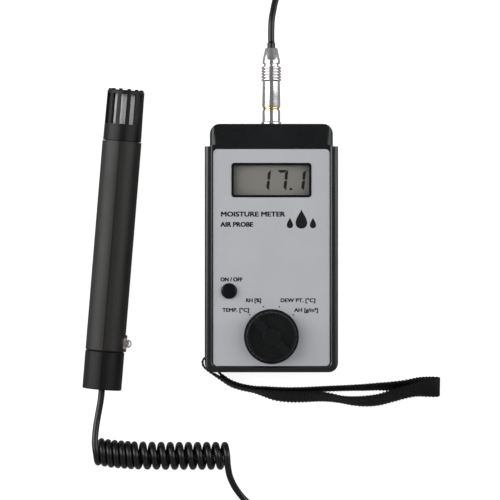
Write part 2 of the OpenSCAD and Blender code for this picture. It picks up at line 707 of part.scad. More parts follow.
module battery_cover() color([0.08, 0.08, 0.09]) {
  difference() {
    box(-cover_x, cover_x, battery_y - cover_y, battery_y + cover_y, cover_z1 - cover_t, cover_z1);
    for (i = [0 : 4]) box(-8, 8, battery_y + 4 + 2 * i, battery_y + 5 + 2 * i, 0,
      cover_z1 - cover_t + 0.4);
  }
  // Pad that the battery lies on
  box(-pad_x, pad_x, battery_y - bay_y + cover_travel + gap, battery_y + bay_y - gap,
      cover_z1 - 0.1, battery_z0 - fit);
  for (s = [-1, 1], y = hook_places) {
    x = s * (bay_open_x - fit - hook_t / 2);
    translate([x, y, (cover_z1 + floor_z + gap) / 2])
      cube([hook_t, hook_l, floor_z + gap - cover_z1 + 0.2], center = true);
    translate([x + s * hook_reach / 2, y, floor_z + fit + hook_h / 2])
      cube([hook_t + hook_reach, hook_l, hook_h], center = true);
  }
}

module case_screws() color("silver") at_posts() {
  rod(0, 0, case_z0 + 0.1, case_z0 + head_h + 0.2, head_r);
  rod(0, 0, case_z0 + head_h, split_z + 8, screw_r);
}

// ---- socket and plug ----

module socket_shell() color("silver") on_socket_axis() difference() {
  union() {
    rod(0, 0, insulator_y0, case_y1, thread_r);
    rod(0, 0, case_y1, case_y1 + flange_l, socket_r + 0.55);
    rod(0, 0, case_y1 + flange_l, socket_y1, socket_r);
  }
  rod(0, 0, insulator_y0 - 1, socket_y1 + 1, socket_bore_r);
}

module socket_nut() color("silver") on_socket_axis()
  hex_nut(case_y1 - case_wall - 2.2, case_y1 - case_wall, 2 * thread_r + 4, thread_r + 0.05);

module at_pins() for (a = [45 : 90 : 315]) rotate([0, 0, a]) translate([1.7, 0, 0]) children();

module socket_insulator() color("ivory") on_socket_axis() difference() {
  rod(0, 0, insulator_y0, insulator_y1, socket_bore_r);
  at_pins() rod(0, 0, 0, 200, 0.55);
}

module contact_ring() color([0.85, 0.65, 0.2])
  on_socket_axis() tube(socket_y1, ring_y1, ring_r, plug_nose_r);

module release_sleeve() color("silver") on_socket_axis() difference() {
  union() {
    rod(0, 0, ring_y1, sleeve_y1, sleeve_r);
    for (i = [0 : ridge_count - 1])
      rod(0, 0, ridge_y0 + i * ridge_pitch, ridge_y0 + i * ridge_pitch + 1, sleeve_r + ridge_h);
  }
  rod(0, 0, ring_y1 - 1, sleeve_y1 + 1, sleeve_bore_r);
}

module plug_body() color("silver") on_socket_axis() difference() {
  union() {
    rod(0, 0, plug_y0, ring_y1, plug_nose_r);
    rod(0, 0, ring_y1, collet_y0, plug_core_r);
    rod(0, 0, collet_y0, collet_y0 + 6, plug_tail_r);
  }
  rod(0, 0, plug_y0 + 3, 200, 1.6);
}

module plug_pins() color([0.85, 0.65, 0.2])
  on_socket_axis() at_pins() rod(0, 0, insulator_y0 + 1.5, plug_y0, 0.5);

module collet_nut() color("silver") on_socket_axis() difference() {
  union() {
    rod(0, 0, collet_y0, collet_y0 + 2.1, sleeve_r - 0.25);
    translate([0, 0, collet_y0 + 2.1])
      cylinder(r1 = sleeve_r - 0.25, r2 = collar_r + 1.3, h = collet_l - 2.1);
  }
  rod(0, 0, 0, collet_y0 + 6.4, plug_tail_r + 0.05);
  rod(0, 0, 0, 200, collar_r + 0.05);
}

module cable_collar() color([0.12, 0.12, 0.12])
  on_socket_axis() tube(collet_y0 + 6.6, collar_y1, collar_r, 1);

// ---- cord and strap ----

module cord_lead() color([0.06, 0.06, 0.07]) swept_tube(smooth_route(lead_route), cord_d / 2, 12);

module cord_curl() color([0.06, 0.06, 0.07]) swept_tube(curl_route, curl_d / 2, 12);

module cord_tail() color([0.06, 0.06, 0.07]) swept_tube(smooth_route(tail_route), cord_d / 2, 12);

function strap_ring(i) =
  let (n = len(strap_route), p = strap_route[i], a = strap_route[(i + n - 1) % n],
       b = strap_route[(i + 1) % n], t = unit([b[0] - a[0], b[1] - a[1], b[2] - a[2]]),
       lean = [0, sin(p[3]), cos(p[3])], w = unit(lean - (lean * t) * t), s = cross(t, w),
       c = [p[0], p[1], p[2]])
  [for (k = [[-1, -1], [1, -1], [1, 1], [-1, 1]])
    c + k[0] * w * strap_w / 2 + k[1] * s * strap_t / 2];

module wrist_strap() color([0.06, 0.06, 0.06]) {
  n = len(strap_route);
  rings = [for (i = [0 : n - 1]) each strap_ring(i)];
  walls = [for (i = [0 : n - 1], k = [0 : 3]) let (j = (i + 1) % n, m = (k + 1) % 4)
    each [[i * 4 + k, j * 4 + m, i * 4 + m], [i * 4 + k, j * 4 + k, j * 4 + m]]];
  polyhedron(rings, walls);
}

// ---- probe ----

module seam_cuts(z0, z1) rotate([0, 0, -seam_turn]) for (s = [-1, 1])
  translate([0, s * grip_r, (z0 + z1) / 2])
    cube([seam_w, 2 * seam_depth, z1 - z0 + 2], center = true);

module grip_blank() difference() {
  union() {
    translate([0, 0, end_cap_l]) cylinder(r1 = grip_r - vee, r2 = grip_r, h = vee);
    rod(0, 0, end_cap_l + vee, grip_z1, grip_r);
  }
  rod(0, 0, 0, 300, grip_in);
  seam_cuts(end_cap_l, grip_z1);
}

// Half of the grip: side is -1 for the left half and 1 for the right one
module grip_half(side) intersection() {
  grip_blank();
  rotate([0, 0, -seam_turn]) translate([side * 20, 0, 100]) cube([40, 40, 300], center = true);
}

module grip_shell_left() color([0.16, 0.16, 0.17]) on_probe_axis() grip_half(-1);

module grip_shell_right() color([0.16, 0.16, 0.17]) difference() {
  on_probe_axis() grip_half(1);
  on_stud_axis() {
    rod(0, 0, spot_x, 20, stud_r + 0.1);
    rod(0, 0, 5, 20, stud_shank_r + 0.05);
  }
}

module end_cap() color([0.16, 0.16, 0.17]) on_probe_axis() difference() {
  union() {
    cylinder(r1 = grip_r - 0.5, r2 = grip_r, h = 0.5);
    rod(0, 0, 0.5, end_cap_l - vee, grip_r);
    translate([0, 0, end_cap_l - vee]) cylinder(r1 = grip_r, r2 = grip_r - vee, h = vee);
    rod(0, 0, end_cap_l - 1, end_cap_l + spigot_l, spigot_r);
  }
  rod(0, 0, 3, 100, spigot_r - spigot_wall);
  rod(0, 0, -1, 10, cord_d / 2 + 0.8);
  seam_cuts(0, end_cap_l);
}

module cord_grommet() color([0.06, 0.06, 0.07]) on_probe_axis() {
  tube(0, 3, cord_d / 2 + 0.8, 1);
  tube(3, 4.4, cord_d / 2 + 2.4, 1);
}

module sensor_cage() color([0.08, 0.08, 0.09]) on_probe_axis() difference() {
  union() {
    rotate_extrude() polygon([[spigot_r - spigot_wall, grip_z1 - neck_l],
      [spigot_r, grip_z1 - neck_l], [spigot_r, cage_z0], [cage_r, cage_z0],
      [cage_tip_r, cage_z1 - 0.6], [cage_tip_r - 0.6, cage_z1], [0, cage_z1], [0, cage_z1 - cage_wall],
      [cage_in, cage_z1 - cage_wall], [cage_in, cage_z0 + 2], [spigot_r - spigot_wall, cage_z0 + 2]]);
    for (i = [0 : cage_bars - 1]) rotate([0, 0, cage_turn + (i + 0.5) * 360 / cage_bars])
      rod(cage_tip_r - 1.5, 0, cage_z1 - 0.5, cage_z1 + cage_crown_h, 1.1);
  }
  for (i = [0 : cage_bars - 1]) rotate([0, 0, cage_turn + i * 360 / cage_bars])
    box(cage_in - 1, 20, -cage_slot_w / 2, cage_slot_w / 2, slot_z0, slot_z1);
}

// Porous sleeve round the sensors, closed at its far end
module sensor_filter() color([0.92, 0.91, 0.9]) on_probe_axis() difference() {
  rod(0, 0, filter_z0, filter_z1, filter_r);
  rod(0, 0, filter_z0 - 1, filter_z1 - filter_wall, filter_r - filter_wall);
}

module cage_seal() color([0.3, 0.3, 0.32]) on_probe_axis() difference() {
  rod(0, 0, grip_z1 - neck_l + 1, grip_z1 - neck_l + 3.4, spigot_r - spigot_wall - 0.05);
  box(-3.5, 3.5, -0.6, 0.6, 0, 300);
}

module sensor_carrier() color([0.1, 0.35, 0.2]) on_probe_axis()
  box(-3.4, 3.4, -0.5, 0.5, grip_z1 - neck_l, cage_z1 - 7);

module humidity_element() color([0.75, 0.75, 0.72]) on_probe_axis()
  box(-2.6, 2.6, -1.7, -0.5, cage_z1 - 19, cage_z1 - 9);

module temperature_bead() color([0.5, 0.3, 0.15]) on_probe_axis() {
  translate([0, 0, cage_z1 - 4.4]) sphere(1.1);
  for (x = [-0.6, 0.6]) rod(x, 0, cage_z1 - 7, cage_z1 - 4.6, 0.25);
}

module probe_board() color([0.1, 0.35, 0.2]) on_probe_axis()
  box(-probe_board_x, probe_board_x, -board_t / 2, board_t / 2, end_cap_l + 14,
      grip_z1 - neck_l - 4);

module probe_parts() color([0.15, 0.15, 0.17]) on_probe_axis() {
  for (z = [50, 72]) box(-4, 4, -2.6, -0.8, z, z + 8);
  for (z = [92, 100, 108]) box(-6, -3, -2, -0.8, z, z + 1.6);
  box(-5, 5, 0.8, 4, 122, 130);
}

module hanger_stud() color("silver") on_stud_axis() difference() {
  union() {
    rod(0, 0, spot_x, stud_x1, stud_r);
    rod(0, 0, stud_x1 - 0.1, eye_x + 0.8, eye_r);
    rod(0, 0, grip_in - 3.1, spot_x + 0.1, stud_shank_r);
  }
  translate([-10, 0, eye_x]) rotate([0, 90, 0]) cylinder(r = hanger_wire_r + hanger_fit, h = 20);
}

module stud_nut() color("silver") on_stud_axis()
  hex_nut(grip_in - 2.9, grip_in - 1.1, 7, stud_shank_r + 0.05);

// D-shaped wire ring: a straight pin through the stud's eye and a half turn outside
module hanger_ring() color("silver") on_stud_axis() translate([0, 0, eye_x]) {
  translate([-hanger_r, 0, 0]) rotate([0, 90, 0]) cylinder(r = hanger_wire_r, h = 2 * hanger_r);
  rotate([90, 0, 0]) rotate_extrude(angle = 180) translate([hanger_r, 0]) circle(hanger_wire_r);
}

holster();
rear_shell();
front_shell();
face_plate();
display_bezel();
display_pane();
display_glass();
contact_strips();
main_board();
board_parts();
board_screws();
button_cap();
switch_plunger();
push_switch();
selector_knob();
knob_cap();
selector_shaft();
knob_screw();
rotary_switch();
panel_nut();
battery();
battery_snap();
battery_cover();
case_screws();
socket_shell();
socket_nut();
socket_insulator();
contact_ring();
release_sleeve();
plug_body();
plug_pins();
collet_nut();
cable_collar();
cord_lead();
cord_curl();
cord_tail();
wrist_strap();
sensor_cage();
sensor_filter();
sensor_carrier();
humidity_element();
temperature_bead();
cage_seal();
grip_shell_left();
grip_shell_right();
probe_board();
probe_parts();
end_cap();
cord_grommet();
hanger_stud();
stud_nut();
hanger_ring();
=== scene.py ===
"""Looks of the moisture meter: holstered case, air probe, curly cord, plug and wrist strap."""
import json
import math

import bmesh
import bpy
import numpy as np
from mathutils import Matrix, Vector


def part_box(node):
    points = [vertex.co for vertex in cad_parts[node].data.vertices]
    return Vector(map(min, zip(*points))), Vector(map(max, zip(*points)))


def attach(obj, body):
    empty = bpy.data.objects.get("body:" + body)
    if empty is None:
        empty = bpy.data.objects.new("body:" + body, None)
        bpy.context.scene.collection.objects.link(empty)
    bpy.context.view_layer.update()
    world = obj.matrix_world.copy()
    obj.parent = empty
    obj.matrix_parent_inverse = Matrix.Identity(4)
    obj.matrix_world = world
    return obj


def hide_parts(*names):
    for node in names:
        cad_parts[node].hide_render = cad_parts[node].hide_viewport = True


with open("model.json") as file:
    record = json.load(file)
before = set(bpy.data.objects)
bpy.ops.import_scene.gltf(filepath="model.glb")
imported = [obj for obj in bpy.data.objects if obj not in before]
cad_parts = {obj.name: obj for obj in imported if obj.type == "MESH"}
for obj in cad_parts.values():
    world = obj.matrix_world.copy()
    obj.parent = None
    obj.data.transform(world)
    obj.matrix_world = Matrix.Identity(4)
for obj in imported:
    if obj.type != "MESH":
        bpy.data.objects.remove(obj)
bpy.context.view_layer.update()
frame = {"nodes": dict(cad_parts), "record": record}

MM = 0.001

# ---------------------------------------------------------------- camera, lights, table

CAMERA_HEIGHT = 2.0
CAMERA_AIM = (-0.0130, -0.0012)
CAMERA_LENS = 233.6
SENSOR_WIDTH = 36
SKY_STOPS = ((0.0, 0.12), (0.25, 0.3), (0.6, 0.3), (0.85, 0.2), (0.98, 0.2))
TABLE_GREY = (0.5, 0.5, 0.5, 1)
TABLE_GLOW = 0.9


def add_camera():
    """Long lens straight above the table, so that upright walls hardly show."""
    data = bpy.data.cameras.new("camera")
    data.lens = CAMERA_LENS
    data.sensor_width = SENSOR_WIDTH
    data.clip_start = 0.05
    camera = bpy.data.objects.new("camera", data)
    camera.location = (*CAMERA_AIM, CAMERA_HEIGHT)
    bpy.context.collection.objects.link(camera)
    bpy.context.scene.camera = camera


def area_light(name, place, aim, size, power):
    """Softbox of the given width and length that faces the aim."""
    data = bpy.data.lights.new(name, "AREA")
    data.shape = "RECTANGLE"
    data.size, data.size_y = size
    data.energy = power
    light = bpy.data.objects.new(name, data)
    light.location = place
    light.rotation_euler = (Vector(aim) - Vector(place)).to_track_quat("-Z", "Y").to_euler()
    bpy.context.collection.objects.link(light)


def light_the_room():
    """Surroundings that are dark overhead, where the camera hangs, and pale lower down."""
    world = bpy.data.worlds.new("studio")
    world.use_nodes = True
    tree = world.node_tree
    back = tree.nodes["Background"]
    coords = tree.nodes.new("ShaderNodeTexCoord")
    height = tree.nodes.new("ShaderNodeSeparateXYZ")
    ramp = tree.nodes.new("ShaderNodeValToRGB")
    tree.links.new(coords.outputs["Generated"], height.inputs[0])
    tree.links.new(height.outputs["Z"], ramp.inputs[0])
    tree.links.new(ramp.outputs["Color"], back.inputs["Color"])
    while len(ramp.color_ramp.elements) < len(SKY_STOPS):
        ramp.color_ramp.elements.new(0.5)
    for stop, (place, grey) in zip(ramp.color_ramp.elements, SKY_STOPS):
        stop.position = place
        stop.color = (grey, grey, grey, 1)
    back.inputs["Strength"].default_value = 1.0
    bpy.context.scene.world = world
    bpy.context.scene.view_settings.view_transform = "Standard"
    area_light("left_softbox", (-1.42, 0.35, 0.62), (-0.02, 0.2, 0.01), (0.8, 2.9), 25)
    area_light("right_softbox", (1.42, 0.35, 0.6), (0, 0.2, 0.01), (0.7, 2.9), 15)


def add_table():
    """Table top that looks white from above but reflects only a soft grey into the parts."""
    bpy.ops.mesh.primitive_plane_add(size=6, location=(0, 0, 0))
    table = bpy.context.object
    table.name = "table"
    material = bpy.data.materials.new("pale_table")
    material.use_nodes = True
    tree = material.node_tree
    shader = tree.nodes["Principled BSDF"]
    shader.inputs["Base Color"].default_value = TABLE_GREY
    shader.inputs["Roughness"].default_value = 0.9
    shader.inputs["Specular IOR Level"].default_value = 0.1
    shader.inputs["Emission Color"].default_value = (1, 1, 1, 1)
    rays = tree.nodes.new("ShaderNodeLightPath")
    glow = tree.nodes.new("ShaderNodeMath")
    glow.operation = "MULTIPLY"
    glow.inputs[1].default_value = TABLE_GLOW
    tree.links.new(rays.outputs["Is Camera Ray"], glow.inputs[0])
    tree.links.new(glow.outputs[0], shader.inputs["Emission Strength"])
    table.data.materials.append(material)


add_camera()
light_the_room()
add_table()

# ---------------------------------------------------------------- materials

CLOUD_SCALE = 45
SCUFF_SCALE = 260
SCUFF_SHARE = 0.4
CLOUD_RANGE = (0.45, 0.95)
TOOL_MARK_SCALE = 2500
SMUDGE_SCALE = 180


def new_material(name):
    """A material with its node tree, its shader and a way to add nodes."""
    material = bpy.data.materials.new(name)
    material.use_nodes = True
    tree = material.node_tree
    shader = tree.nodes["Principled BSDF"]

    def add(kind, **settings):
        """New node, with each setting given to the input or the property of that name."""
        node = tree.nodes.new(kind)
        for key, value in settings.items():
            if key in node.inputs:
                node.inputs[key].default_value = value
            else:
                setattr(node, key, value)
        return node

    return material, tree, shader, add


def noise(tree, add, coords, scale, detail):
    """Noise on the given coordinates."""
    node = add("ShaderNodeTexNoise", Scale=scale, Detail=detail)
    tree.links.new(coords, node.inputs["Vector"])
    return node.outputs["Fac"]


def spread(tree, add, value, low, high, start=0.3, end=0.7):
    """Maps a noise's middle range onto low..high."""
    node = add("ShaderNodeMapRange")
    node.inputs["From Min"].default_value = start
    node.inputs["From Max"].default_value = end
    node.inputs["To Min"].default_value = low
    node.inputs["To Max"].default_value = high
    tree.links.new(value, node.inputs["Value"])
    return node.outputs["Result"]


def tint(tree, add, value, dark, light):
    """Colour between dark and light, by the value."""
    node = add("ShaderNodeMix", data_type="RGBA")
    node.inputs[6].default_value = (*dark, 1)
    node.inputs[7].default_value = (*light, 1)
    tree.links.new(value, node.inputs[0])
    return node.outputs[2]


def bump(tree, add, shader, height, distance):
    """Fine relief of the surface, as deep as the distance."""
    node = add("ShaderNodeBump", Strength=1.0, Distance=distance)
    tree.links.new(height, node.inputs["Height"])
    tree.links.new(node.outputs["Normal"], shader.inputs["Normal"])


def moulded(name, dark, light, rough, grain=9000, grain_depth=0.00002, specular=0.5):
    """Moulded plastic or rubber: fine grain, faint clouds in colour and gloss, light scuffs."""
    material, tree, shader, add = new_material(name)
    coords = add("ShaderNodeTexCoord").outputs["Object"]
    clouds = noise(tree, add, coords, CLOUD_SCALE, 5)
    scuffs = noise(tree, add, coords, SCUFF_SCALE, 8)
    fine = noise(tree, add, coords, grain, 2)
    both = add("ShaderNodeMath", operation="MULTIPLY_ADD")
    tree.links.new(scuffs, both.inputs[0])
    both.inputs[1].default_value = SCUFF_SHARE
    tree.links.new(clouds, both.inputs[2])
    tree.links.new(tint(tree, add, spread(tree, add, both.outputs[0], 0, 1, *CLOUD_RANGE),
                        dark, light), shader.inputs["Base Color"])
    tree.links.new(spread(tree, add, both.outputs[0], *rough, *CLOUD_RANGE),
                   shader.inputs["Roughness"])
    bump(tree, add, shader, fine, grain_depth)
    shader.inputs["Specular IOR Level"].default_value = specular
    return material


def metal(name, dark, light, rough, depth=0.000004):
    """Plated or turned metal: fine tool marks and smudges."""
    material, tree, shader, add = new_material(name)
    coords = add("ShaderNodeTexCoord").outputs["Object"]
    marks = noise(tree, add, coords, TOOL_MARK_SCALE, 3)
    smudge = noise(tree, add, coords, SMUDGE_SCALE, 5)
    tree.links.new(tint(tree, add, spread(tree, add, smudge, 0, 1), dark, light),
                   shader.inputs["Base Color"])
    tree.links.new(spread(tree, add, smudge, *rough), shader.inputs["Roughness"])
    bump(tree, add, shader, marks, depth)
    shader.inputs["Metallic"].default_value = 1
    return material


def clear_pane():
    """Clear window over the display, with a little dust on it."""
    material, tree, shader, add = new_material("clear_pane")
    coords = add("ShaderNodeTexCoord").outputs["Object"]
    dust = noise(tree, add, coords, 900, 6)
    tree.links.new(spread(tree, add, dust, 0.04, 0.1), shader.inputs["Roughness"])
    shader.inputs["Base Color"].default_value = (0.02, 0.022, 0.022, 1)
    shader.inputs["Alpha"].default_value = 0.12
    return material


def display_grey():
    """Reflective liquid crystal glass: warm grey, with painted shade that makes it a little darker and
    cooler towards its rim.
    """
    material, tree, shader, add = new_material("display_grey")
    coords = add("ShaderNodeTexCoord").outputs["Object"]
    low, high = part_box("display_glass")
    middle = [(a + b) / 2 for a, b in zip(low, high)]
    mapping = add("ShaderNodeMapping", vector_type="TEXTURE")
    mapping.inputs["Location"].default_value = middle
    mapping.inputs["Scale"].default_value = ((high[0] - low[0]) * 0.48, (high[1] - low[1]) * 0.46, 1)
    tree.links.new(coords, mapping.inputs["Vector"])
    length = add("ShaderNodeVectorMath", operation="LENGTH")
    tree.links.new(mapping.outputs["Vector"], length.inputs[0])
    # Painted shade: the colour darkens towards the rim, where the bezel shades the recessed glass.
    tree.links.new(tint(tree, add, spread(tree, add, length.outputs["Value"], 0, 1, 0.75, 1.3),
                        (0.47, 0.45, 0.41), (0.3, 0.305, 0.295)), shader.inputs["Base Color"])
    mottle = noise(tree, add, coords, 6000, 2)
    tree.links.new(spread(tree, add, mottle, 0.3, 0.45), shader.inputs["Roughness"])
    return material


BLACK = (0.008, 0.008, 0.009)
FINISH = {
    "holster_rubber": moulded("holster_rubber", (0.0045, 0.0045, 0.006), (0.0075, 0.0075, 0.009),
                              (0.26, 0.32), grain_depth=0.000008, specular=0.75),
    "case_plastic": moulded("case_plastic", (0.0015, 0.002, 0.003), (0.003, 0.004, 0.005),
                            (0.24, 0.34)),
    "plate_silver": moulded("plate_silver", (0.605, 0.615, 0.645), (0.64, 0.65, 0.68), (0.42, 0.5),
                            grain=14000, grain_depth=0.000003),
    "bezel_black": moulded("bezel_black", (0.001, 0.001, 0.001), (0.002, 0.002, 0.002),
                           (0.3, 0.4), specular=0.25),
    "pane_clear": clear_pane(),
    "lcd_grey": display_grey(),
    "strip_rubber": moulded("strip_rubber", (0.4, 0.12, 0.16), (0.5, 0.18, 0.22), (0.6, 0.7)),
    "circuit_board": moulded("circuit_board", (0.02, 0.12, 0.05), (0.03, 0.17, 0.07), (0.3, 0.4)),
    "component_black": moulded("component_black", BLACK, (0.03, 0.03, 0.032), (0.45, 0.6)),
    "steel": metal("steel", (0.5, 0.5, 0.51), (0.62, 0.62, 0.63), (0.22, 0.35)),
    "button_black": moulded("button_black", (0.001, 0.001, 0.002), (0.002, 0.002, 0.004),
                            (0.25, 0.35), specular=0.35),
    "ivory_plastic": moulded("ivory_plastic", (0.6, 0.57, 0.46), (0.68, 0.65, 0.55), (0.4, 0.5)),
    "knob_black": moulded("knob_black", (0.0025, 0.003, 0.004), (0.005, 0.006, 0.007), (0.2, 0.28),
                          grain_depth=0.000004),
    "battery_jacket": metal("battery_jacket", (0.35, 0.25, 0.07), (0.45, 0.33, 0.1), (0.3, 0.4)),
    "connector_chrome": metal("connector_chrome", (0.74, 0.72, 0.73), (0.84, 0.82, 0.83),
                              (0.08, 0.16), depth=0.0000006),
    "contact_gold": metal("contact_gold", (0.72, 0.56, 0.28), (0.84, 0.68, 0.36), (0.1, 0.18),
                          depth=0.000001),
    "cord_black": moulded("cord_black", (0.003, 0.003, 0.003), (0.006, 0.006, 0.006), (0.24, 0.34)),
    "webbing_black": moulded("webbing_black", (0.001, 0.001, 0.001), (0.004, 0.004, 0.004),
                             (0.55, 0.75), specular=0.35),
    "cage_black": moulded("cage_black", (0.003, 0.003, 0.003), (0.005, 0.005, 0.005), (0.34, 0.44),
                          specular=0.3),
    "sensor_ceramic": moulded("sensor_ceramic", (0.5, 0.5, 0.48), (0.6, 0.6, 0.58), (0.5, 0.6)),
    "filter_white": moulded("filter_white", (0.88, 0.87, 0.86), (0.96, 0.95, 0.94), (0.3, 0.42),
                            grain=5000, grain_depth=0.00003),
    "bead_amber": moulded("bead_amber", (0.2, 0.09, 0.03), (0.28, 0.13, 0.04), (0.2, 0.3)),
    "seal_grey": moulded("seal_grey", (0.06, 0.06, 0.065), (0.08, 0.08, 0.085), (0.6, 0.7)),
    "grip_grey": moulded("grip_grey", (0.012, 0.0108, 0.0096), (0.0195, 0.0178, 0.016),
                         (0.42, 0.52)),
    "nickel": metal("nickel", (0.62, 0.57, 0.5), (0.8, 0.76, 0.7), (0.12, 0.22), depth=0.000001),
}
SLOT_OF = {row["node"]: row["material_slot"] for row in frame["record"]["subparts"]}


def finish_of(node):
    """Material of a CAD node, by its slot."""
    return FINISH[SLOT_OF[node]]


def dress_cad_nodes():
    """Gives every CAD node its material."""
    for name, node in frame["nodes"].items():
        node.data.materials.clear()
        node.data.materials.append(finish_of(name))


# ---------------------------------------------------------------- mesh helpers


def mesh_object(name, verts, faces, material, smooth=True):
    """Object with one material, made from points and faces."""
    mesh = bpy.data.meshes.new(name)
    mesh.from_pydata([tuple(v) for v in verts], [], [tuple(f) for f in faces])
    mesh.polygons.foreach_set("use_smooth", [smooth] * len(mesh.polygons))
    mesh.materials.append(material)
    piece = bpy.data.objects.new(name, mesh)
    bpy.context.collection.objects.link(piece)
    return piece


def catmull(points, steps, closed=False):
    """Smooth curve through the points, with so many steps between each pair."""
    points = [np.array(p, float) for p in points]
    count = len(points)
    spans = count if closed else count - 1
    out = []
    for i in range(spans):
        a, b, c, d = (points[(i + k) % count] if closed else points[min(max(i + k, 0), count - 1)]
                      for k in (-1, 0, 1, 2))
        for j in range(steps):
            t = j / steps
            out.append(0.5 * (2 * b + (c - a) * t + (2 * a - 5 * b + 4 * c - d) * t * t
                              + (3 * b - a - 3 * c + d) * t ** 3))
    if not closed:
        out.append(points[-1])
    return np.array(out)


def evenly(path, step):
    """The same polyline with points at an even spacing of about step."""
    lengths = np.r_[0, np.cumsum(np.linalg.norm(np.diff(path[:, :3], axis=0), axis=1))]
    marks = np.linspace(0, lengths[-1], int(round(lengths[-1] / step)) + 1)
    return np.stack([np.interp(marks, lengths, path[:, k]) for k in range(path.shape[1])], axis=1)


def headings(path, closed=False):
    """Unit direction of travel at each point of a path."""
    if closed:
        ahead = np.roll(path, -1, axis=0) - np.roll(path, 1, axis=0)
    else:
        ahead = np.gradient(path, axis=0)
    return ahead / np.linalg.norm(ahead, axis=1)[:, None]


def swept_tube(name, path, radius, sides, material):
    """Round tube along a path, with rings that don't twist and closed ends."""
    ahead = headings(path)
    side = np.cross(ahead[0], (0.0, 0.0, 1.0))
    rings = []
    for point, way in zip(path, ahead):
        side = side - way * (side @ way)
        side /= np.linalg.norm(side)
        across = np.cross(side, way)
        turns = np.arange(sides) * 2 * math.pi / sides
        rings.append(point + radius * (np.outer(np.cos(turns), side) + np.outer(np.sin(turns), across)))
    verts = np.concatenate(rings)
    count = len(path)
    faces = []
    for i in range(count - 1):
        for k in range(sides):
            m = (k + 1) % sides
            faces.append((i * sides + k, (i + 1) * sides + k, (i + 1) * sides + m, i * sides + m))
    faces.append(tuple(range(sides)))
    faces.append(tuple((count - 1) * sides + k for k in reversed(range(sides))))
    return mesh_object(name, verts, faces, material)


def joined(name, pieces):
    """One mesh object from several, which go away."""
    form = bmesh.new()
    materials = []
    for piece in pieces:
        start = len(form.faces)
        form.from_mesh(piece.data)
        form.faces.ensure_lookup_table()
        slots = list(piece.data.materials) or [None]
        for face in form.faces[start:]:
            material = slots[min(face.material_index, len(slots) - 1)]
            if material not in materials:
                materials.append(material)
            face.material_index = materials.index(material)
        bpy.data.objects.remove(piece)
    mesh = bpy.data.meshes.new(name)
    form.to_mesh(mesh)
    form.free()
    for material in materials:
        mesh.materials.append(material)
    piece = bpy.data.objects.new(name, mesh)
    bpy.context.collection.objects.link(piece)
    return piece


def stand_in(piece, node):
    """Says that a piece moves with the body of a CAD node and takes its place."""
    bodies = frame["record"]["behaviour"]["bodies"]
    body = next(body for body, nodes in bodies.items() if node in nodes)
    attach(piece, body)
    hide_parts(node)
    return piece


# ---------------------------------------------------------------- the cord

CORD_R = 2.0 * MM
CURL_R = 6.7 * MM
CURL_Z = 8.7 * MM
LEAD_ROUTE = [(-103.8, -86.5, 12), (-104.3, -92, 12), (-105.2, -97.5, 12.1), (-106.2, -103, 12.4),
              (-107.1, -108.5, 13), (-107.7, -114, 13.8), (-107.9, -119, 14.8),
              (-107.4, -124, 15.4)]
TAIL_ROUTE = [(-27, -127.5, 15.4), (-26.5, -134, 14.5), (-25, -141, 10.5), (-21, -149, 5),
              (-14, -157, 2.3), (-3, -163.5, 2), (12, -167, 2), (35, -168, 2), (60, -168, 2),
              (85, -168.5, 2), (110, -169, 2), (133, -167.5, 2), (149, -159, 2), (155.5, -144, 2),
              (156, -120, 2), (155, -90, 2), (154, -60, 2), (153.5, -30, 2), (153.5, 0, 2),
              (153.5, 30, 2), (154, 60, 2), (155, 90, 2), (156, 120, 2), (155.5, 146, 2),
              (149, 162, 2), (133, 170.5, 2), (110, 172, 2), (85, 172.5, 2), (60, 173, 2),
              (42, 173, 2), (28, 171, 2.5), (14, 166, 6), (4.5, 156.5, 12), (0.8, 143, 16.8),
              (0, 134, 18), (0, 125.4, 18)]
CURL_AXIS = [(-107.2, -124.7), (-98, -126.2), (-85, -127.2), (-65, -127.5), (-27, -127.5)]
TIGHT_TURNS = 6
TURNS = 16
TIGHT_PITCH = 4.05
STEPS_PER_TURN = 28
LEAD_STEPS = 4
TAIL_STEPS = 6
CORD_SIDES = 16


def curl_points():
    """The curly part: tight turns at first, then turns a little apart."""
    start, end = CURL_AXIS[0][0], CURL_AXIS[-1][0]
    loose_pitch = (end - start - TIGHT_TURNS * TIGHT_PITCH) / (TURNS - TIGHT_TURNS)
    xs, ys = zip(*CURL_AXIS)
    points = []
    for i in range(1, TURNS * STEPS_PER_TURN):
        turn = i / STEPS_PER_TURN
        tight = min(turn, TIGHT_TURNS)
        x = start + tight * TIGHT_PITCH + (turn - tight) * loose_pitch
        angle = 2 * math.pi * turn
        y = np.interp(x, xs, ys) * MM - CURL_R * math.sin(angle)
        points.append((x * MM, y, CURL_Z + CURL_R * math.cos(angle)))
    return np.array(points)


def make_cord():
    """The whole cord as one tube: lead out of the probe, curl, tail into the plug."""
    lead = catmull(np.array(LEAD_ROUTE) * MM, LEAD_STEPS)
    tail = catmull(np.array(TAIL_ROUTE) * MM, TAIL_STEPS)
    path = np.concatenate([lead, curl_points(), tail])
    cord = swept_tube("cord", path, CORD_R, CORD_SIDES, finish_of("cord_tail"))
    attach(cord, "root")
    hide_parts("cord_lead", "cord_curl", "cord_tail")


# ---------------------------------------------------------------- the wrist strap

